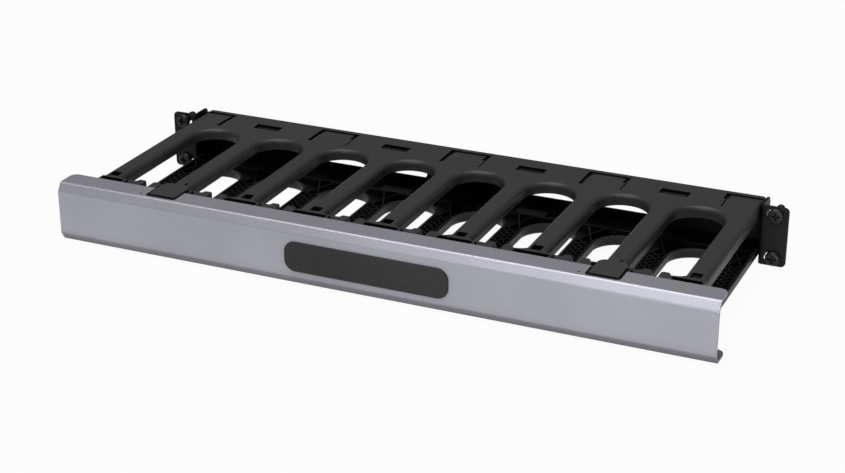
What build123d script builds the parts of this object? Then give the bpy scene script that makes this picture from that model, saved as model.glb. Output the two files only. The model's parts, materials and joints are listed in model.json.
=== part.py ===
"""Horizontal cable manager, one rack unit high, with a hinged metal cover.

Frame: X along the rack's width, Y towards the back of the rack, +Z up. The origin is the
centre of the rack mounting plane, where the back faces of the two ears meet the rack's rails.
"""
import os

from build123d import *

# Rack interface
RACK_WIDTH = 482.6
EAR_HEIGHT = 43.7
HOLE_EDGE_X = 8.75
HOLE_EDGE_Z = 5.975
EAR_REACH = 17.8
EAR_SLOT_LENGTH = 11.5
EAR_SLOT_HEIGHT = 7.0
EAR_SLOT_SHIFT = 1.3
EAR_CORNER = 3.2

# Steel channel: back web, two flanges, side plates and ears, folded from one sheet
SHEET = 1.6
SHEET_BEND = 1.8
CHANNEL_BACK = 20.0
FLANGE_FRONT = -5.0
FLANGE_END_GAP = 0.3
SIDE_CORNER = 2.5
WINDOW_NEAR_X = 36.0
WINDOW_FAR_X = 140.0
WINDOW_HALF_HEIGHT = 7.8
WINDOW_CORNER = 3.0

# Combs: two equal mouldings, the lower one turned over
COMB_INSET = 2.05
COMB_SKIN = 2.0
COMB_WALL = 1.8
COMB_DEPTH = 8.0
COMB_ROLL = 3.8
COMB_END_GAP = 0.5
FINGERS = 9
FINGER_WIDTH = 15.6
ARCH_CENTRE_Y = -36.0
COMB_REAR_CHAMFER = 1.2

# Finger heads
HEAD_FRONT = -140.5
HEAD_GAP = 5.6
HEAD_ROUND = 0.6
ARM_DROP = 2.3
ARM_LENGTH = 12.8
ARM_HOOK = 3.4
ARM_KNOB = 3.2
ARM_CORNER = 2.4
ARM_HOLLOW = 10.5
BOSS_LEFT = 15.2
BOSS_RIGHT = 12.9
BOSS_LENGTH = 8.1
FLARE_HALF_WIDTH = 3.6
FLARE_LENGTH = 12.0
POCKET_WALL = 1.7
POCKET_DEPTH = 5.0
POCKET_FRONT_WALL = 1.6
TIP_HOLE_WIDTH = 7.2
TIP_HOLE_LENGTH = 7.6
TIP_HOLE_BACK = 13.7
TIP_HOLE_SHIFT = -0.4

# Ribs inside the combs
RIB = 1.0
RIB_STEP = 12.5
RIB_DEPTH = 7.2
RIB_INTO_WALL = 0.4
RIB_INTO_SKIN = 0.5
BORDER_RIB_GAP = 0.4

# Snap tongues, over the odd fingers, and locating keys, over the even ones
TONGUE_FRONT = -10.5
TONGUE_BACK = 13.6
TONGUE_LEFT = -11.0
TONGUE_RIGHT = 16.4
TONGUE_SINK = 0.8
WIDE_SLIT = 3.0
THIN_SLIT = 1.0
END_SLIT = 1.3
NOTCH_FRONT = 3.7
NOTCH_WIDTH = 3.6
END_TONGUE_WIDTH = 25.8
CATCH_LENGTH = 3.4
CATCH_DROP = 2.8
CATCH_HALF_WIDTH = 6.0
CATCH_GAP = 0.3
KEY_X = 21.0
KEY_Y = 9.0
KEY_CENTRE_Y = 0.8
KEY_WALL = 1.4
KEY_DROP = 2.4
KEY_GAP = 0.4
KEY_BAR_PLACE = 1.4
KEY_BAR_DROP = 1.8

# Cover: a folded sheet with slanted bands above and below its face
COVER_INSET = 2.7
COVER_RISE = 1.9
COVER_DEPTH = 20.6
COVER_BAND_DEPTH = 3.5
COVER_BAND_HEIGHT = 5.5
COVER_GAP = 2.5
COVER_SHEET = 1.5
COVER_BEND = 1.5
COVER_CORNER = 5.0
NOTCH_GAP = 1.85
NOTCH_EDGE = 6.1
NOTCH_CORNER = 2.5
DIMPLE_RADIUS = 0.9
DIMPLE_OUT = 16.0
DIMPLE_FORWARD = 3.7

# Hinges: pins in the cover's lugs, clips on the second and eighth fingers
PIN_RADIUS = 1.5
PIN_AHEAD = 10.9
PIN_BELOW = 2.6
PIN_GAP = 0.1
PIN_OVERHANG = 0.6
PIN_DOME = 0.4
LUG_RADIUS = 3.2
CLIP_FINGERS = (2, 8)
CLIP_SHIFT = 0.75
CLIP_HALF_WIDTH = 10.0
CLIP_RISE = 2.4
CLIP_SHEET = 1.6
CLIP_BROW = 2.3
CLIP_LAP = 1.0
CLIP_CORNER = 5.5
CLIP_HOOK_RADIUS = 3.2
CLIP_TONGUE_WIDTH = 6.4
CLIP_TONGUE_RISE = 1.1
CLIP_FIT = 0.2
SNAP_MOUTH = 2.5
OPEN_MOUTH = 3.6

# Rack screws
SCREW_RADIUS = 2.75
SCREW_LENGTH = 15.0
SCREW_POINT = 0.8
SCREW_NECK_RADIUS = 2.2
HEAD_RADIUS = 5.3
HEAD_HEIGHT = 3.4
HEAD_DOME = 2.0
CROSS_WIDTH = 1.5
CROSS_LENGTH = 6.0
CROSS_DEPTH = 2.0

# Badge plate on the cover's face
BADGE_WIDTH = 119.0
BADGE_HEIGHT = 21.2
BADGE_CORNER = 7.8
BADGE_THICKNESS = 1.4
BADGE_BEVEL = 0.5
BADGE_DROP = 0.4

# Sizes that follow
HOLE_SPAN_X = RACK_WIDTH - 2 * HOLE_EDGE_X
HOLE_SPAN_Z = EAR_HEIGHT - 2 * HOLE_EDGE_Z
SIDE_INNER_X = RACK_WIDTH / 2 - EAR_REACH - SHEET
COMB_END = SIDE_INNER_X - COMB_END_GAP
PITCH = (2 * COMB_END - FINGER_WIDTH) / (FINGERS - 1)
COMB_TOP = EAR_HEIGHT / 2 - COMB_INSET
SKIN_INNER = COMB_TOP - COMB_SKIN
LIP = COMB_TOP - COMB_DEPTH
ARCH_RADIUS = (PITCH - FINGER_WIDTH) / 2
WEB_FACE = CHANNEL_BACK - SHEET
FLANGE_END = COMB_END - COMB_ROLL - FLANGE_END_GAP
BOSS_BACK = HEAD_FRONT + BOSS_LENGTH
FINGER_FRONT = HEAD_FRONT + BOSS_LENGTH / 2
ARM_TOP = COMB_TOP - ARM_DROP
ARM_BACK = HEAD_FRONT + ARM_LENGTH
TIP_HOLE_Y = HEAD_FRONT + TIP_HOLE_BACK
END_TONGUE_EDGE = COMB_END - END_TONGUE_WIDTH
COVER_WIDTH = RACK_WIDTH - 2 * COVER_INSET
COVER_HALF_HEIGHT = COMB_TOP + COVER_RISE
COVER_REAR_EDGE = HEAD_FRONT - COVER_GAP
COVER_FACE_Y = COVER_REAR_EDGE - COVER_DEPTH
PIN_Y = HEAD_FRONT - PIN_AHEAD
PIN_Z = COMB_TOP - PIN_BELOW
CLIP_TOP = COMB_TOP + CLIP_RISE
CLIP_REAR = BOSS_BACK + CLIP_LAP
CLIP_FRONT = PIN_Y - CLIP_BROW
NOTCH_HALF_WIDTH = CLIP_HALF_WIDTH + NOTCH_GAP
FINGER_X = [(k - (FINGERS - 1) / 2) * PITCH for k in range(FINGERS)]
CLIP_X = [FINGER_X[k - 1] + CLIP_SHIFT for k in CLIP_FINGERS]


def box(x, y, z):
    """A box from the low and high value of each axis."""
    size = (x[1] - x[0], y[1] - y[0], z[1] - z[0])
    middle = ((x[0] + x[1]) / 2, (y[0] + y[1]) / 2, (z[0] + z[1]) / 2)
    return Pos(*middle) * Box(*size)


def area(x, y):
    """A rectangle in the XY plane from the low and high value of each axis."""
    return Pos((x[0] + x[1]) / 2, (y[0] + y[1]) / 2) * Rectangle(x[1] - x[0], y[1] - y[0])


def turned_over(shape):
    """The shape turned half round about the Y axis, from the upper side to the lower."""
    return Rot(0, 180, 0) * shape


def rear_channel():
    """The folded steel channel that carries both combs, with the rack ears at its ends."""
    side = SIDE_INNER_X + SHEET / 2
    ear = -SHEET / 2
    web = CHANNEL_BACK - SHEET / 2
    outline = [(RACK_WIDTH / 2, ear), (side, ear), (side, web)]
    outline += [(-x, y) for x, y in reversed(outline)]
    plan = trace(FilletPolyline(*outline, radius=SHEET_BEND), SHEET)
    wrap = extrude(plan, EAR_HEIGHT / 2, both=True)

    for low, high in ((SKIN_INNER, EAR_HEIGHT), (-EAR_HEIGHT, -SKIN_INNER)):
        wrap -= box((-RACK_WIDTH, RACK_WIDTH), (WEB_FACE - SHEET_BEND, EAR_HEIGHT), (low, high))
    corners = [
        e for e in wrap.edges().filter_by(Axis.X)
        if abs(e.center().Z) > EAR_HEIGHT / 2 - 0.01 and e.center().Y > 0
    ]
    wrap = fillet(corners, SIDE_CORNER)
    ear_corners = [
        e for e in wrap.edges().filter_by(Axis.Y)
        if abs(e.center().X) > RACK_WIDTH / 2 - 0.01 and e.length < 2 * SHEET
    ]
    wrap = fillet(ear_corners, EAR_CORNER)

    flange = SKIN_INNER - SHEET / 2
    fold = [(FLANGE_FRONT, flange), (web, flange), (web, -flange), (FLANGE_FRONT, -flange)]
    section = Plane.YZ * trace(FilletPolyline(*fold, radius=SHEET_BEND), SHEET)
    channel = wrap + extrude(section, FLANGE_END, both=True)

    across = WINDOW_FAR_X - WINDOW_NEAR_X
    window = RectangleRounded(across, 2 * WINDOW_HALF_HEIGHT, WINDOW_CORNER)
    cutter = Plane.XZ * extrude(window, 4 * SHEET, both=True)
    for way in (-1, 1):
        channel -= Pos(way * (WINDOW_NEAR_X + across / 2), web, 0) * cutter

    slot = Plane.XZ * extrude(SlotOverall(EAR_SLOT_LENGTH, EAR_SLOT_HEIGHT), 2 * SHEET, both=True)
    middle = HOLE_SPAN_X / 2 - EAR_SLOT_SHIFT
    for x in (-middle, middle):
        for z in (-HOLE_SPAN_Z / 2, HOLE_SPAN_Z / 2):
            channel -= Pos(x, ear, z) * slot

    for cut in flange_cuts():
        channel -= cut
        channel -= turned_over(cut)
    return channel


def flange_cuts():
    """What the upper flange is pierced for: the combs' keys and the catches of their tongues."""
    height = (SKIN_INNER - SHEET - 1, SKIN_INNER + 1)
    cuts = []
    for x in FINGER_X[1::2]:
        half_x = KEY_X / 2 + KEY_WALL + KEY_GAP
        half_y = KEY_Y / 2 + KEY_WALL + KEY_GAP
        cuts.append(box((x - half_x, x + half_x), (KEY_CENTRE_Y - half_y, KEY_CENTRE_Y + half_y), height))
    for left, right in tongues():
        middle = (left + right) / 2
        half_x = CATCH_HALF_WIDTH + CATCH_GAP
        back = TONGUE_BACK + CATCH_GAP
        front = TONGUE_BACK - CATCH_LENGTH - CATCH_GAP
        cuts.append(box((middle - half_x, middle + half_x), (front, back), height))
    return cuts


def tongues():
    """The left and right edge of each snap tongue of a comb that lies the right way up."""
    pairs = [(x + TONGUE_LEFT, x + TONGUE_RIGHT) for x in FINGER_X[2:-1:2]]
    first = (-COMB_END, -END_TONGUE_EDGE - WIDE_SLIT)
    last = (END_TONGUE_EDGE + THIN_SLIT, COMB_END)
    return [first, *pairs, last]


def comb_plan(inset):
    """A comb from above, without its finger heads, with every edge but the back moved inwards."""
    end = COMB_END - inset
    back = CHANNEL_BACK if inset == 0 else CHANNEL_BACK + COMB_DEPTH
    plan = area((-end, end), (FINGER_FRONT, back))
    radius = ARCH_RADIUS + inset
    for x, following in zip(FINGER_X, FINGER_X[1:]):
        middle = (x + following) / 2
        plan -= area((middle - radius, middle + radius), (2 * HEAD_FRONT, ARCH_CENTRE_Y))
        plan -= Pos(middle, ARCH_CENTRE_Y) * Circle(radius)
    return plan


def arm_plan(left, right):
    """The two arms of a finger head from above: a bar whose rounded ends turn back as hooks."""
    plan = area((left, right), (HEAD_FRONT, ARM_BACK))
    for x in (left + ARM_KNOB, right - ARM_KNOB):
        plan += area((x - ARM_KNOB, x + ARM_KNOB), (HEAD_FRONT, ARM_BACK + ARM_HOOK))
    plan = fillet([v for v in plan.vertices() if v.Y < HEAD_FRONT + 0.01], ARM_CORNER)
    plan = fillet([v for v in plan.vertices() if v.Y > ARM_BACK + ARM_HOOK - 0.01], ARM_HOOK * 0.55)
    return fillet([v for v in plan.vertices() if abs(v.Y - ARM_BACK) < 0.01], ARM_HOOK * 0.4)


def boss_plan(x):
    """The boss at a finger's tip from above, with the flares that widen the finger into it."""
    left, right = boss_reach(x)
    plan = area((left, right), (HEAD_FRONT, BOSS_BACK))
    plan += area((x - FLARE_HALF_WIDTH, x + FLARE_HALF_WIDTH), (HEAD_FRONT, BOSS_BACK + FLARE_LENGTH))
    for side, overhang in ((-1, x - left), (1, right - x)):
        corner = Vector(x + side * FLARE_HALF_WIDTH, BOSS_BACK)
        inner = [v for v in plan.vertices() if (Vector(v.X, v.Y) - corner).length < 0.01]
        plan = fillet(inner, (overhang - FLARE_HALF_WIDTH) * 0.9)
    return plan


def finger_heads():
    """The heads at the tips of the fingers: a boss with its flares, and the lower arms beside it."""
    heads = []
    for x in FINGER_X:
        for plan, height in ((boss_plan(x), COMB_TOP - LIP), (arm_plan(*head_reach(x)), ARM_TOP - LIP)):
            head = Pos(0, 0, LIP) * extrude(plan, height)
            heads.append(fillet(head.faces().sort_by(Axis.Z)[-1].edges(), HEAD_ROUND))
    return heads


def head_hollows():
    """What is hollow under the heads: the inside of each flared finger and of the arms' ends."""
    hollows = []
    half = FINGER_WIDTH / 2 - COMB_WALL
    for x in FINGER_X:
        hollows.append(box((x - half, x + half), (BOSS_BACK + COMB_WALL, BOSS_BACK + FLARE_LENGTH),
                           (LIP - 1, SKIN_INNER)))
        for end, way in zip(head_reach(x), (1, -1)):
            if abs(end) < COMB_END:
                across = sorted((end + way * COMB_WALL, end + way * (2 * ARM_KNOB - COMB_WALL / 2)))
                along = (ARM_BACK - ARM_HOLLOW, ARM_BACK + ARM_HOOK - COMB_WALL)
                hollows.append(box(across, along, (LIP - 1, ARM_TOP - COMB_SKIN)))
    return hollows


def boss_reach(x):
    """How far the boss of the finger at x reaches across."""
    left, right = head_reach(x)
    return (max(x - BOSS_LEFT, left), min(x + BOSS_RIGHT, right))


def head_reach(x):
    """How far the head of the finger at x reaches across."""
    half = (PITCH - HEAD_GAP) / 2
    return (max(x - half, -COMB_END), min(x + half, COMB_END))


def pocket_x(x):
    """The reach of a clip's pocket across the boss of the finger at x."""
    left, right = boss_reach(x)
    return (left + POCKET_WALL, right - POCKET_WALL)


def pocket_y():
    """The pocket's reach along a finger."""
    return (HEAD_FRONT + POCKET_FRONT_WALL, BOSS_BACK - POCKET_WALL)


def ribs():
    """Crossed ribs in the fingers and their roots, and the rib along the flange's front edge."""
    low = COMB_TOP - RIB_DEPTH
    height = SKIN_INNER + RIB_INTO_SKIN - low
    half = FINGER_WIDTH / 2 - COMB_WALL + RIB_INTO_WALL
    first = BOSS_BACK - RIB
    steps = round((ARCH_CENTRE_Y - first) / RIB_STEP)
    rise = (ARCH_CENTRE_Y - first) / steps
    border = FLANGE_FRONT - BORDER_RIB_GAP
    end = COMB_END - COMB_WALL + RIB_INTO_WALL
    bars = [box((-end, end), (border - RIB, border), (low, low + height))]
    for x in FINGER_X:
        for k in range(steps):
            bars += crossing(x, half, first + k * rise, first + (k + 1) * rise, low, height)
        bars += crossing(x, half, ARCH_CENTRE_Y, border - RIB / 2, low, height)
    return bars


def crossing(x, half, front, back, low, height):
    """Two ribs that cross between a finger's walls."""
    length = (4 * half * half + (back - front) ** 2) ** 0.5
    turn = Vector(2 * half, back - front).get_angle(Vector(1, 0))
    place = Pos(x, (front + back) / 2, low + height / 2)
    return [place * Rot(0, 0, way * turn) * Box(length, RIB, height) for way in (-1, 1)]


def comb():
    """One comb the right way up: a skin with rolled edges round its slots, ribbed inside."""
    shell = Pos(0, 0, LIP) * extrude(comb_plan(0), COMB_DEPTH)
    top = shell.faces().sort_by(Axis.Z)[-1]
    shell = fillet(side_edges(top), COMB_ROLL)
    rear = shell.edges().filter_by(Axis.X).sort_by(lambda e: e.center().Y + e.center().Z)[-1]
    shell = chamfer(rear, COMB_REAR_CHAMFER)

    core = Pos(0, 0, LIP - 1) * extrude(comb_plan(COMB_WALL), COMB_DEPTH - COMB_SKIN + 1)
    ceiling = core.faces().sort_by(Axis.Z)[-1]
    core = fillet(side_edges(ceiling), COMB_ROLL - COMB_WALL)
    shell -= core
    shell = shell.fuse(*finger_heads()).cut(*head_hollows()).fuse(*ribs())

    shell = shell.fuse(*[key(x, KEY_WALL, SKIN_INNER + COMB_SKIN / 2) for x in FINGER_X[1::2]],
                       *[catch((left + right) / 2) for left, right in tongues()])

    hole = Box(TIP_HOLE_WIDTH, TIP_HOLE_LENGTH, 3 * COMB_SKIN)
    cuts = [Pos(x + TIP_HOLE_SHIFT, TIP_HOLE_Y, COMB_TOP) * hole for x in FINGER_X]
    cuts += [box(pocket_x(x), pocket_y(), (COMB_TOP - POCKET_DEPTH, COMB_TOP + 1)) for x in FINGER_X]
    cuts += [key(x, 0, COMB_TOP + 1) for x in FINGER_X[1::2]]
    for number, (left, right) in enumerate(tongues()):
        cuts += slits(number, left, right)
        cuts.append(sink(left, right))
    web_side = WEB_FACE - SHEET_BEND
    cuts.append(box((-RACK_WIDTH, RACK_WIDTH), (web_side, RACK_WIDTH), (0, SKIN_INNER)))
    return shell.cut(*cuts).fuse(*[key_bar(x) for x in FINGER_X[1::2]])


def key_bar(x):
    """The raised bar along the floor of a key's hollow."""
    half = KEY_X / 2 + KEY_WALL / 2
    front = KEY_CENTRE_Y + KEY_BAR_PLACE
    return box((x - half, x + half), (front, front + RIB),
               (SKIN_INNER - SHEET - KEY_DROP, COMB_TOP - KEY_BAR_DROP))


def sink(left, right):
    """The wedge by which a tongue's rear part slopes down to its free end."""
    front, back = NOTCH_FRONT, TONGUE_BACK + END_SLIT / 2
    above = COMB_TOP + 1
    corners = [(front, COMB_TOP), (back, COMB_TOP - TONGUE_SINK), (back, above), (front, above)]
    wedge = Polyline(*corners, close=True)
    middle = (left + right) / 2
    return Pos(middle, 0, 0) * extrude(Plane.YZ * make_face(wedge), (right - left) / 2, both=True)


def key(x, wall, top):
    """The block of a locating key with its wall, or without it the hollow in the block."""
    half_x, half_y = KEY_X / 2 + wall, KEY_Y / 2 + wall
    low = SKIN_INNER - SHEET - KEY_DROP + KEY_WALL - wall
    return box((x - half_x, x + half_x), (KEY_CENTRE_Y - half_y, KEY_CENTRE_Y + half_y), (low, top))


def side_edges(face):
    """A comb face's edges, but for those at the tips of the fingers and at the back."""
    return [e for e in face.edges() if FINGER_FRONT + 0.01 < e.center().Y < CHANNEL_BACK - 0.01]


def catch(x):
    """The hooked block under a tongue's free end, which drops into the flange."""
    front, back = TONGUE_BACK - CATCH_LENGTH, TONGUE_BACK
    profile = Polyline((front, SKIN_INNER + 1), (back, SKIN_INNER + 1), (back, SKIN_INNER - CATCH_DROP / 3),
                       (front, SKIN_INNER - CATCH_DROP), close=True)
    return Pos(x, 0, 0) * extrude(Plane.YZ * make_face(profile), CATCH_HALF_WIDTH, both=True)


def slits(number, left, right):
    """The cuts that free one tongue: along its sides, across its end, and at its end's corners."""
    height = (LIP - 1, COMB_TOP + 1)
    long = (TONGUE_FRONT, NOTCH_FRONT)
    notch = (NOTCH_FRONT, TONGUE_BACK + END_SLIT)
    first, last = number == 0, number == len(tongues()) - 1
    cuts = [box((left, right), (TONGUE_BACK, TONGUE_BACK + END_SLIT), height)]
    if first:
        cuts.append(box((right, right + WIDE_SLIT), long, height))
        cuts.append(box((right, right + NOTCH_WIDTH), notch, height))
        return cuts
    width = THIN_SLIT if last else WIDE_SLIT
    cuts.append(box((left - width, left), long, height))
    cuts.append(box((left - WIDE_SLIT, left + NOTCH_WIDTH - WIDE_SLIT), notch, height))
    if not last:
        cuts.append(box((right, right + THIN_SLIT), long, height))
        cuts.append(box((right - NOTCH_WIDTH + THIN_SLIT, right + THIN_SLIT), notch, height))
    return cuts


def cover():
    """The folded cover: face, slanted bands and flanges, with notches and lugs for the hinges."""
    face = COVER_FACE_Y + COVER_SHEET / 2
    middle = COVER_HALF_HEIGHT - COVER_SHEET / 2
    half = [(COVER_REAR_EDGE, middle), (face + COVER_BAND_DEPTH, middle), (face, middle - COVER_BAND_HEIGHT)]
    fold = half + [(y, -z) for y, z in reversed(half)]
    section = Plane.YZ * trace(FilletPolyline(*fold, radius=COVER_BEND), COVER_SHEET)
    sheet = extrude(section, COVER_WIDTH / 2, both=True)
    rear = [
        e for e in sheet.edges().filter_by(Axis.Z)
        if e.center().Y > COVER_REAR_EDGE - 0.01 and abs(e.center().X) > COVER_WIDTH / 2 - 0.01
    ]
    sheet = fillet(rear, COVER_CORNER)
    for x in CLIP_X:
        for side in (-1, 1):
            sheet -= notch(x, side)
            for way in (-1, 1):
                sheet += lug(x + way * (NOTCH_HALF_WIDTH + COVER_SHEET / 2), side)
            hole = Pos(x - DIMPLE_OUT, PIN_Y - DIMPLE_FORWARD, side * middle)
            sheet -= hole * Cylinder(DIMPLE_RADIUS, 2 * COVER_SHEET)
            sheet -= pin_place(x, side) * Cylinder(PIN_RADIUS, 2 * NOTCH_HALF_WIDTH + 4 * COVER_SHEET)
    return sheet


def notch(x, side):
    """The cut in a flange of the cover that a hinge clip reaches through."""
    front, back = PIN_Y - NOTCH_EDGE, COVER_REAR_EDGE + COVER_SHEET
    plan = area((x - NOTCH_HALF_WIDTH, x + NOTCH_HALF_WIDTH), (front, back))
    inner = [v for v in plan.vertices() if v.Y < front + 0.01]
    plan = fillet(inner, NOTCH_CORNER)
    return Pos(0, 0, side * COVER_HALF_HEIGHT) * extrude(plan, 2 * COVER_SHEET, both=True)


def lug(x, side):
    """A tab folded off the flange at one side of a notch, which holds an end of the pin."""
    root = area((PIN_Y - LUG_RADIUS, PIN_Y + LUG_RADIUS), (PIN_Z, COVER_HALF_HEIGHT - COVER_SHEET / 2))
    profile = root + Pos(PIN_Y, PIN_Z) * Circle(LUG_RADIUS)
    tab = extrude(Plane.YZ * profile, COVER_SHEET / 2, both=True)
    tab = Pos(x, 0, 0) * tab
    return tab if side > 0 else mirror(tab, Plane.XY)


def pin_place(x, side):
    """Where a hinge pin lies: across the notch at x, under the upper or over the lower flange."""
    return Pos(x, PIN_Y, side * PIN_Z) * Rot(0, 90, 0)


def hinge_pin(x, side):
    """A steel pin held in two lugs of the cover."""
    length = 2 * (NOTCH_HALF_WIDTH + COVER_SHEET + PIN_OVERHANG)
    pin = Cylinder(PIN_RADIUS, length)
    pin = chamfer(pin.edges().filter_by(GeomType.CIRCLE), PIN_DOME)
    return pin_place(x, side) * pin


def clip(finger, shift, mouth):
    """An upper hinge clip: a plate from a finger's pocket to a hook round the cover's pin."""
    x = finger + shift
    wide = (-CLIP_HALF_WIDTH, CLIP_HALF_WIDTH)
    plan = area(wide, (CLIP_FRONT, CLIP_REAR))
    rear = [v for v in plan.vertices() if v.Y > CLIP_REAR - 0.01]
    plate = Pos(0, 0, CLIP_TOP - CLIP_SHEET) * extrude(fillet(rear, CLIP_CORNER), CLIP_SHEET)
    across = Pos(0, PIN_Y, PIN_Z) * Rot(0, 90, 0)
    hook = across * Cylinder(CLIP_HOOK_RADIUS, 2 * CLIP_HALF_WIDTH)
    web = box(wide, (PIN_Y, HEAD_FRONT - CLIP_FIT), (COMB_TOP - CLIP_RISE, CLIP_TOP - CLIP_SHEET / 2))
    body = plate + hook + web
    body -= across * Cylinder(PIN_RADIUS + PIN_GAP, 3 * CLIP_HALF_WIDTH)
    body -= box((-RACK_WIDTH, RACK_WIDTH), (PIN_Y - 2 * CLIP_HOOK_RADIUS, PIN_Y),
                (PIN_Z - mouth / 2, PIN_Z + mouth / 2))

    deep = pocket_y()
    neck = box(wide, (deep[0] + CLIP_FIT, deep[1] - CLIP_FIT), (COMB_TOP - POCKET_DEPTH, COMB_TOP + 1))
    hole_back = TIP_HOLE_Y + TIP_HOLE_LENGTH / 2 - CLIP_FIT
    half = CLIP_TONGUE_WIDTH / 2
    reach = (TIP_HOLE_SHIFT - shift - half, TIP_HOLE_SHIFT - shift + half)
    tongue = box(reach, (deep[0] + CLIP_FIT, hole_back), (COMB_TOP, COMB_TOP + CLIP_TONGUE_RISE))
    end = tongue.edges().filter_by(Axis.X).sort_by(lambda e: e.center().Y + e.center().Z)[-1]
    tongue = fillet(end, CLIP_TONGUE_RISE * 0.8)
    hole_front = TIP_HOLE_Y - TIP_HOLE_LENGTH / 2 + CLIP_FIT
    barb = box(reach, (hole_front, hole_back),
               (SKIN_INNER - COMB_SKIN / 2, COMB_TOP + CLIP_TONGUE_RISE / 2))
    return Pos(x, 0, 0) * (body + neck + tongue + barb)


def rack_screw(x, z):
    """A pan-head cross-recess screw, seated on the front face of an ear."""
    head = Cylinder(HEAD_RADIUS, HEAD_HEIGHT)
    crown = head.edges().sort_by(Axis.Z)[-1]
    head = Pos(0, 0, HEAD_HEIGHT / 2) * fillet(crown, HEAD_DOME)
    thread_length = SCREW_LENGTH - SHEET
    shank = Cylinder(SCREW_RADIUS, thread_length)
    point = shank.edges().filter_by(GeomType.CIRCLE).sort_by(Axis.Z)[0]
    shank = Pos(0, 0, -SHEET - thread_length / 2) * chamfer(point, SCREW_POINT)
    neck = Pos(0, 0, -SHEET / 2) * Cylinder(SCREW_NECK_RADIUS, 2 * SHEET)
    screw = head + neck + shank
    for turn in (0, 90):
        arm = Pos(0, 0, HEAD_HEIGHT) * Rot(0, 0, turn) * Box(CROSS_LENGTH, CROSS_WIDTH, 2 * CROSS_DEPTH)
        screw -= arm
    return Pos(x, -SHEET, z) * Rot(90, 0, 0) * screw


def badge_plate():
    """The plain raised plate on the middle of the cover's face."""
    outline = RectangleRounded(BADGE_WIDTH, BADGE_HEIGHT, BADGE_CORNER)
    plate = extrude(outline, BADGE_THICKNESS)
    rim = plate.faces().sort_by(Axis.Z)[-1].edges()
    plate = chamfer(rim, BADGE_BEVEL)
    return Pos(0, COVER_FACE_Y, -BADGE_DROP) * Rot(90, 0, 0) * plate


def build():
    """Every piece of the cable manager by name, each in its place."""
    upper = comb()
    pieces = {"rear_channel": rear_channel(), "top_comb": upper, "bottom_comb": turned_over(upper)}
    pieces["cover"] = cover()
    pieces["badge_plate"] = badge_plate()
    for hand, number in zip(("left", "right"), CLIP_FINGERS):
        finger = FINGER_X[number - 1]
        x = finger + CLIP_SHIFT
        pieces[f"hinge_pin_upper_{hand}"] = hinge_pin(x, 1)
        pieces[f"hinge_pin_lower_{hand}"] = hinge_pin(x, -1)
        pieces[f"hinge_clip_upper_{hand}"] = clip(finger, CLIP_SHIFT, SNAP_MOUTH)
        pieces[f"hinge_clip_lower_{hand}"] = turned_over(clip(-finger, -CLIP_SHIFT, OPEN_MOUTH))
    for hand, x in (("left", -HOLE_SPAN_X / 2), ("right", HOLE_SPAN_X / 2)):
        for level, z in (("lower", -HOLE_SPAN_Z / 2), ("upper", HOLE_SPAN_Z / 2)):
            pieces[f"rack_screw_{level}_{hand}"] = rack_screw(x, z)
    return pieces


def main():
    """Write one STEP file for each piece."""
    os.makedirs("parts", exist_ok=True)
    for name, solid in build().items():
        export_step(solid, f"parts/{name}.step")


main()
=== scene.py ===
"""Looks of a rack cable manager: materials, small details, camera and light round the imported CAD."""

import json
import math

import bmesh
import bpy
from mathutils import Matrix, Vector


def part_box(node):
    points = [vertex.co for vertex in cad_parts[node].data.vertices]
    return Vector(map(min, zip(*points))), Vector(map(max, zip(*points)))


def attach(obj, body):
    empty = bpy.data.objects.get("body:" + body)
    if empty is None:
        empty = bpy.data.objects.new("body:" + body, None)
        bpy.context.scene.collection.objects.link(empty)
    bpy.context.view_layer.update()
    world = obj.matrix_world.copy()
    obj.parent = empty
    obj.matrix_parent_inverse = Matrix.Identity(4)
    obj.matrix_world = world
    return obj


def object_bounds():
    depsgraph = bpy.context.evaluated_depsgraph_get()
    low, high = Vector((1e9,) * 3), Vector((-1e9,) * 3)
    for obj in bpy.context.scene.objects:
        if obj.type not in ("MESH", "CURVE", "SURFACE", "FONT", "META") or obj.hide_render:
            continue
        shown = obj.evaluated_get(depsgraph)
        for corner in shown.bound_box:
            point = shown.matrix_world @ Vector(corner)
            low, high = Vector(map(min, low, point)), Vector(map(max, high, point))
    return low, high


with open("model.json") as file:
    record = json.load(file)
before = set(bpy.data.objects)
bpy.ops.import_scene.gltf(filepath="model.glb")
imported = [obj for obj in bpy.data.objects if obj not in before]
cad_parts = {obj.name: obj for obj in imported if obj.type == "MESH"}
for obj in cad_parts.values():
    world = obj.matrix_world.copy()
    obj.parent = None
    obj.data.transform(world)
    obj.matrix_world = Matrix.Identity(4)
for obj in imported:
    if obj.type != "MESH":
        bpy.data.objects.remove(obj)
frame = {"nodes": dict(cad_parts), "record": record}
cad_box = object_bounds()

# Camera, fitted to the rack's standard sizes in the photograph (metres and degrees)
CAMERA_PLACE = (0.48931, -1.16817, 0.50869)
CAMERA_YAW = 24.03
CAMERA_PITCH = 23.49
CAMERA_LENS = 79.55
CAMERA_NEAR = 0.01
SENSOR_WIDTH = 36.0

# Screw threads, #12-24: the ridge's width is a share of the pitch, its root's depth a share of the
# ridge's, and it starts and stops short of the ear's back face and the shank's end
THREAD_PITCH = 0.00106
THREAD_DEPTH = 0.00028
THREAD_STEPS = 24
THREAD_WIDTH = 0.8
THREAD_ROOT = 0.2
THREAD_START = 0.0006
THREAD_STOP = 0.0012

# Fine ribs between the coarse ones inside the fingers, as the part's own sizes give them
FINGERS = 9
FINGER_PITCH = 0.0534
RIB = 0.001
RIB_HALF_REACH = 0.0064
RIB_RISE = 0.012175
RIB_FIRST = -0.1334
RIB_COUNT = 8
RIB_LOW = 0.0126
RIB_HIGH = 0.0181

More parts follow.
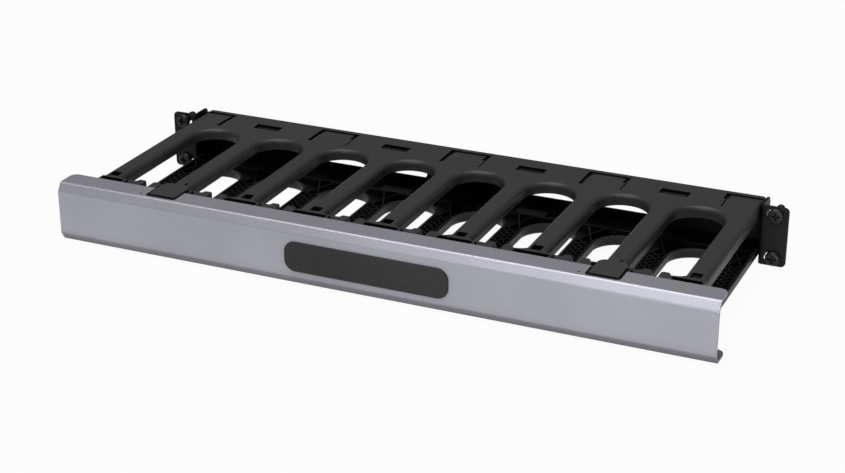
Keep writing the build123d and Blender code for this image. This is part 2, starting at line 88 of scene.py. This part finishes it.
# Lamps: place, what they point at, width and height in metres and power in watts
LAMPS = {
    "overhead": ((-0.15, -0.35, 2.15), (0, -0.08, 0), (2.0, 2.0), 49),
    "brow": ((-0.15, -1.75, 1.4), (0, -0.14, 0), (1.0, 1.0), 9),
    "front": ((0.52, -1.5, 0.03), (0.05, -0.14, 0), (1.0, 0.08), 13),
}
SURROUND = 0.16

# Floor: white to the rays named here, and for the rest a pale surface that takes the shadow
FLOOR_SIZE = 12
FLOOR_GAP = 0.0002
FLOOR_TONE = 0.5
FLOOR_ROUGHNESS = 0.9
FLOOR_GLOW = {"Is Camera Ray": 0.95, "Is Glossy Ray": 0.5, "Is Transmission Ray": 0.95}

# Broad and fine noise, the sums of both between which a tone drifts, and how far the fine one moves
# the gloss and the relief
BROAD_SCALE = 14.0
BROAD_DETAIL = 3.0
FINE_DETAIL = 4.0
FINE_ROUGHNESS = 0.6
DRIFT_LOW = 0.7
DRIFT_HIGH = 1.3
GLOSS_SWING = 0.06
BUMP_STRENGTH = 0.5

# Softened edges: their radius, and the leans of the normal between which a painted highlight along an
# edge's line fades in
EDGE_RADIUS = 0.0003
EDGE_SAMPLES = 4
EDGE_HIGHLIGHT_FLAT = 0.985
EDGE_HIGHLIGHT_SHARP = 0.8

# Painted shade in hollows, darker than open faces: how far a wall shades, and the open shares between
# which the painted shade fades
PAINTED_SHADE_REACH = 0.012
PAINTED_SHADE_SAMPLES = 8
PAINTED_SHADE_CLOSED = 0.5
PAINTED_SHADE_OPEN = 0.95

# The Mix node's sockets for colours
MIX_FACTOR = 0
MIX_FIRST = 6
MIX_SECOND = 7
MIX_RESULT = 2

# Finishes: grain is the fine noise's scale, depth its relief in metres, edge_highlight how much lighter
# the painted highlight along an edge is, edge_highlight_amount how much of it shows, and hollow_shade the
# tone's share deep in a hollow, where shade is painted
FINISHES = {
    "cover_paint": dict(tone=(0.34, 0.34, 0.385), roughness=0.34, grain=1500.0, depth=0.00007, drift=0.09,
                        metallic=0.55, edge_highlight=1.25, edge_highlight_amount=0.6, hollow_shade=0.5),
    "comb_plastic": dict(tone=(0.029, 0.029, 0.029), roughness=0.38, grain=1500.0, depth=0.00004,
                         drift=0.08, specular=0.25, edge_highlight=2.5),
    "channel_paint": dict(tone=(0.011, 0.011, 0.0115), roughness=0.45, grain=1300.0, depth=0.00006,
                          drift=0.1, specular=0.15, hollow_shade=0.45),
    "clip_plastic": dict(tone=(0.03, 0.03, 0.03), roughness=0.45, grain=1500.0, depth=0.00003,
                         drift=0.08, specular=0.35, hollow_shade=0.8),
    "badge_plastic": dict(tone=(0.022, 0.0222, 0.0225), roughness=0.6, grain=900.0, depth=0.0002,
                          drift=0.3, specular=0.2),
    "screw_black": dict(tone=(0.014, 0.014, 0.014), roughness=0.4, grain=1500.0, depth=0.00001,
                        drift=0.1, specular=0.3),
    "pin_steel": dict(tone=(0.5, 0.5, 0.5), roughness=0.3, grain=1500.0, depth=0.00001, drift=0.05,
                      metallic=1.0, edge_highlight=1.3),
}

# What each CAD node wears, by how its name begins
WORN = {
    "cover": "cover_paint",
    "top_comb": "comb_plastic",
    "bottom_comb": "comb_plastic",
    "rear_channel": "channel_paint",
    "badge_plate": "badge_plastic",
    "hinge_clip": "clip_plastic",
    "hinge_pin": "pin_steel",
    "rack_screw": "screw_black",
}


def node_material(name):
    """A new material with its node tree, its Principled shader and a helper that adds nodes."""
    mat = bpy.data.materials.new(name)
    mat.use_nodes = True
    tree = mat.node_tree

    def add(kind, **values):
        node = tree.nodes.new(kind)
        for key, value in values.items():
            if hasattr(node, key):
                setattr(node, key, value)
            else:
                node.inputs[key.replace("_", " ")].default_value = value
        return node

    return mat, tree, tree.nodes["Principled BSDF"], add


def scaled(tone, factor):
    """A colour with its alpha, lighter or darker by a factor."""
    return [channel * factor for channel in tone] + [1]


def drifting_tone(tree, add, tone, drift, broad, fine):
    """A tone that wanders a little over the surface, both broadly and as a fine grain."""
    both = add("ShaderNodeMath", operation="ADD")
    tree.links.new(broad.outputs["Fac"], both.inputs[0])
    tree.links.new(fine.outputs["Fac"], both.inputs[1])
    level = add("ShaderNodeMapRange", From_Min=DRIFT_LOW, From_Max=DRIFT_HIGH)
    tree.links.new(both.outputs[0], level.inputs["Value"])
    tones = add("ShaderNodeValToRGB")
    low, high = tones.color_ramp.elements
    low.color = scaled(tone, 1 - drift)
    high.color = scaled(tone, 1 + drift)
    tree.links.new(level.outputs["Result"], tones.inputs["Fac"])
    return tones.outputs["Color"]


def painted_edge_highlight(tree, add, colour, rounded, tone, amount):
    """The colour with a painted highlight: lightened along edges, where the softened normal leans away
    from the surface's own.
    """
    own = add("ShaderNodeNewGeometry")
    lean = add("ShaderNodeVectorMath", operation="DOT_PRODUCT")
    tree.links.new(own.outputs["Normal"], lean.inputs[0])
    tree.links.new(rounded.outputs["Normal"], lean.inputs[1])
    highlight_mask = add("ShaderNodeMapRange", From_Min=EDGE_HIGHLIGHT_FLAT, From_Max=EDGE_HIGHLIGHT_SHARP, To_Max=amount)
    tree.links.new(lean.outputs["Value"], highlight_mask.inputs["Value"])
    blend = add("ShaderNodeMix", data_type="RGBA")
    tree.links.new(highlight_mask.outputs["Result"], blend.inputs[MIX_FACTOR])
    tree.links.new(colour, blend.inputs[MIX_FIRST])
    blend.inputs[MIX_SECOND].default_value = tone
    return blend.outputs[MIX_RESULT]


def painted_hollow_shade(tree, add, colour, darkest):
    """The colour with painted shade: darker down to a share of itself where walls close in on the
    surface.
    """
    open_share = add("ShaderNodeAmbientOcclusion", samples=PAINTED_SHADE_SAMPLES, Distance=PAINTED_SHADE_REACH)
    level = add("ShaderNodeMapRange", From_Min=PAINTED_SHADE_CLOSED, From_Max=PAINTED_SHADE_OPEN, To_Min=darkest)
    tree.links.new(open_share.outputs["AO"], level.inputs["Value"])
    shaded = add("ShaderNodeVectorMath", operation="SCALE")
    tree.links.new(colour, shaded.inputs[0])
    tree.links.new(level.outputs["Result"], shaded.inputs["Scale"])
    return shaded.outputs["Vector"]


def finish_of(name, tone, roughness, grain, depth, drift, metallic=0.0, specular=0.5,
              edge_highlight=1.8, edge_highlight_amount=0.5, hollow_shade=0.1):
    """A finish: a tone that drifts slightly, a fine grain, soft edges with a painted highlight, and
    painted shade in hollows.
    """
    mat, tree, shader, add = node_material(name)
    place = add("ShaderNodeTexCoord")
    broad = add("ShaderNodeTexNoise", Scale=BROAD_SCALE, Detail=BROAD_DETAIL)
    fine = add("ShaderNodeTexNoise", Scale=grain, Detail=FINE_DETAIL, Roughness=FINE_ROUGHNESS)
    tree.links.new(place.outputs["Object"], broad.inputs["Vector"])
    tree.links.new(place.outputs["Object"], fine.inputs["Vector"])

    rounded = add("ShaderNodeBevel", samples=EDGE_SAMPLES)
    rounded.inputs["Radius"].default_value = EDGE_RADIUS
    colour = drifting_tone(tree, add, tone, drift, broad, fine)
    # Painted highlight: the colour is made lighter along edges
    colour = painted_edge_highlight(tree, add, colour, rounded, scaled(tone, edge_highlight), edge_highlight_amount)
    # Painted shade: the colour is made darker in hollows, where shade falls
    colour = painted_hollow_shade(tree, add, colour, hollow_shade)
    tree.links.new(colour, shader.inputs["Base Color"])

    gloss = add("ShaderNodeMapRange", To_Min=roughness - GLOSS_SWING, To_Max=roughness + GLOSS_SWING)
    tree.links.new(fine.outputs["Fac"], gloss.inputs["Value"])
    tree.links.new(gloss.outputs["Result"], shader.inputs["Roughness"])

    bump = add("ShaderNodeBump", Strength=BUMP_STRENGTH, Distance=depth)
    tree.links.new(fine.outputs["Fac"], bump.inputs["Height"])
    tree.links.new(rounded.outputs["Normal"], bump.inputs["Normal"])
    tree.links.new(bump.outputs["Normal"], shader.inputs["Normal"])
    shader.inputs["Metallic"].default_value = metallic
    shader.inputs["Specular IOR Level"].default_value = specular
    return mat


def dress(nodes, mat):
    """Gives CAD nodes a material in every slot."""
    for name in nodes:
        obj = frame["nodes"][name]
        if not obj.material_slots:
            obj.data.materials.append(mat)
        for slot in obj.material_slots:
            slot.material = mat


def nodes_named(start):
    """The CAD nodes whose names begin with the given word."""
    return [name for name in frame["nodes"] if name.startswith(start)]


def piece(name, build, mat, body, smooth):
    """Adds a mesh object made by build(bm), with smooth or flat shading, which rides on a body."""
    mesh = bpy.data.meshes.new(name)
    bm = bmesh.new()
    build(bm)
    bmesh.ops.recalc_face_normals(bm, faces=bm.faces)
    bm.to_mesh(mesh)
    bm.free()
    obj = bpy.data.objects.new(name, mesh)
    bpy.context.scene.collection.objects.link(obj)
    mesh.materials.append(mat)
    for polygon in mesh.polygons:
        polygon.use_smooth = smooth
    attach(obj, body)


def thread(bm, centre, radius, start, end):
    """A helical ridge of triangular section round a screw's shank, along Y."""
    turns = (end - start) / THREAD_PITCH
    count = int(turns * THREAD_STEPS)
    half_width = THREAD_PITCH * THREAD_WIDTH / 2
    rows = []
    for k in range(count + 1):
        turn = 2 * math.pi * k / THREAD_STEPS
        y = start + (end - start) * k / count
        grow = min(1.0, k / THREAD_STEPS, (count - k) / THREAD_STEPS)
        row = []
        for along, out in ((-half_width, -THREAD_ROOT), (0.0, grow), (half_width, -THREAD_ROOT)):
            r = radius + out * THREAD_DEPTH
            x = centre.x + r * math.cos(turn)
            z = centre.z + r * math.sin(turn)
            row.append(bm.verts.new((x, y + along, z)))
        rows.append(row)
    for a, b in zip(rows, rows[1:]):
        for i in range(3):
            j = (i + 1) % 3
            bm.faces.new((a[i], a[j], b[j], b[i]))


def rib_lattice(bm, side):
    """The ribs that halve the cells inside one comb's fingers; side is 1 above and -1 below."""
    length = math.hypot(2 * RIB_HALF_REACH, RIB_RISE)
    turn = math.atan2(RIB_RISE, 2 * RIB_HALF_REACH)
    z = side * (RIB_LOW + RIB_HIGH) / 2
    for finger in range(FINGERS):
        x = (finger - (FINGERS - 1) / 2) * FINGER_PITCH
        for step in range(1, RIB_COUNT):
            y = RIB_FIRST + (step + 1) * RIB_RISE
            for way in (-1, 1):
                shape = Matrix.Translation((x, y, z)) @ Matrix.Rotation(way * turn, 4, "Z")
                shape = shape @ Matrix.Diagonal((length, RIB, RIB_HIGH - RIB_LOW, 1))
                bmesh.ops.create_cube(bm, size=1, matrix=shape)


def add_camera():
    """The photograph's camera."""
    data = bpy.data.cameras.new("camera")
    data.lens = CAMERA_LENS
    data.sensor_width = SENSOR_WIDTH
    data.clip_start = CAMERA_NEAR
    cam = bpy.data.objects.new("camera", data)
    cam.location = CAMERA_PLACE
    cam.rotation_euler = (math.radians(90 - CAMERA_PITCH), 0, math.radians(CAMERA_YAW))
    bpy.context.scene.collection.objects.link(cam)
    bpy.context.scene.camera = cam


def add_lamp(name, place, aim, size, power):
    """A soft lamp, a rectangle that points at a place."""
    data = bpy.data.lights.new(name, "AREA")
    data.shape = "RECTANGLE"
    data.size, data.size_y = size
    data.energy = power
    lamp = bpy.data.objects.new(name, data)
    lamp.location = place
    lamp.rotation_euler = (Vector(aim) - Vector(place)).to_track_quat("-Z", "Y").to_euler()
    bpy.context.scene.collection.objects.link(lamp)


def add_floor(low):
    """A white floor just under the object, which keeps its shadow faintly."""
    mat, tree, shader, add = node_material("floor_white")
    shader.inputs["Base Color"].default_value = (FLOOR_TONE, FLOOR_TONE, FLOOR_TONE, 1)
    shader.inputs["Roughness"].default_value = FLOOR_ROUGHNESS
    shader.inputs["Specular IOR Level"].default_value = 0.0
    glow = add("ShaderNodeEmission", Strength=1.0)
    path = add("ShaderNodeLightPath")
    mix = add("ShaderNodeMixShader")
    glow_of_rays = mix.inputs["Fac"]
    for ray, share in FLOOR_GLOW.items():
        sum_of_rays = add("ShaderNodeMath", operation="MULTIPLY_ADD")
        tree.links.new(path.outputs[ray], sum_of_rays.inputs[0])
        sum_of_rays.inputs[1].default_value = share
        sum_of_rays.inputs[2].default_value = 0
        tree.links.new(sum_of_rays.outputs[0], glow_of_rays)
        glow_of_rays = sum_of_rays.inputs[2]
    tree.links.new(shader.outputs[0], mix.inputs[1])
    tree.links.new(glow.outputs[0], mix.inputs[2])
    out = next(n for n in tree.nodes if n.type == "OUTPUT_MATERIAL")
    tree.links.new(mix.outputs[0], out.inputs["Surface"])
    bpy.ops.mesh.primitive_plane_add(size=FLOOR_SIZE, location=(0, 0, low - FLOOR_GAP))
    floor = bpy.context.object
    floor.name = "floor"
    floor.data.materials.append(mat)


def light_world(strength):
    """An even pale surround."""
    world = bpy.data.worlds.new("surround")
    world.use_nodes = True
    background = world.node_tree.nodes["Background"]
    background.inputs["Color"].default_value = (1, 1, 1, 1)
    background.inputs["Strength"].default_value = strength
    bpy.context.scene.world = world


materials = {name: finish_of(name, **values) for name, values in FINISHES.items()}
for start, finish in WORN.items():
    dress(nodes_named(start), materials[finish])

shank = frame["record"]["mounts"][0]["dims"]["stud_r_mm"] / 1000
for screw in nodes_named("rack_screw"):
    low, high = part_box(screw)
    middle = (low + high) / 2
    piece(screw.replace("rack_screw", "screw_thread"),
          lambda bm: thread(bm, middle, shank, THREAD_START, high.y - THREAD_STOP),
          materials["screw_black"], "frame", smooth=True)

for level, side in (("upper", 1), ("lower", -1)):
    piece(f"rib_lattice_{level}", lambda bm: rib_lattice(bm, side),
          materials["comb_plastic"], "frame", smooth=False)

add_camera()
for lamp, settings in LAMPS.items():
    add_lamp(lamp, *settings)
add_floor(cad_box[0][2])
light_world(SURROUND)
bpy.context.scene.view_settings.view_transform = "Standard"
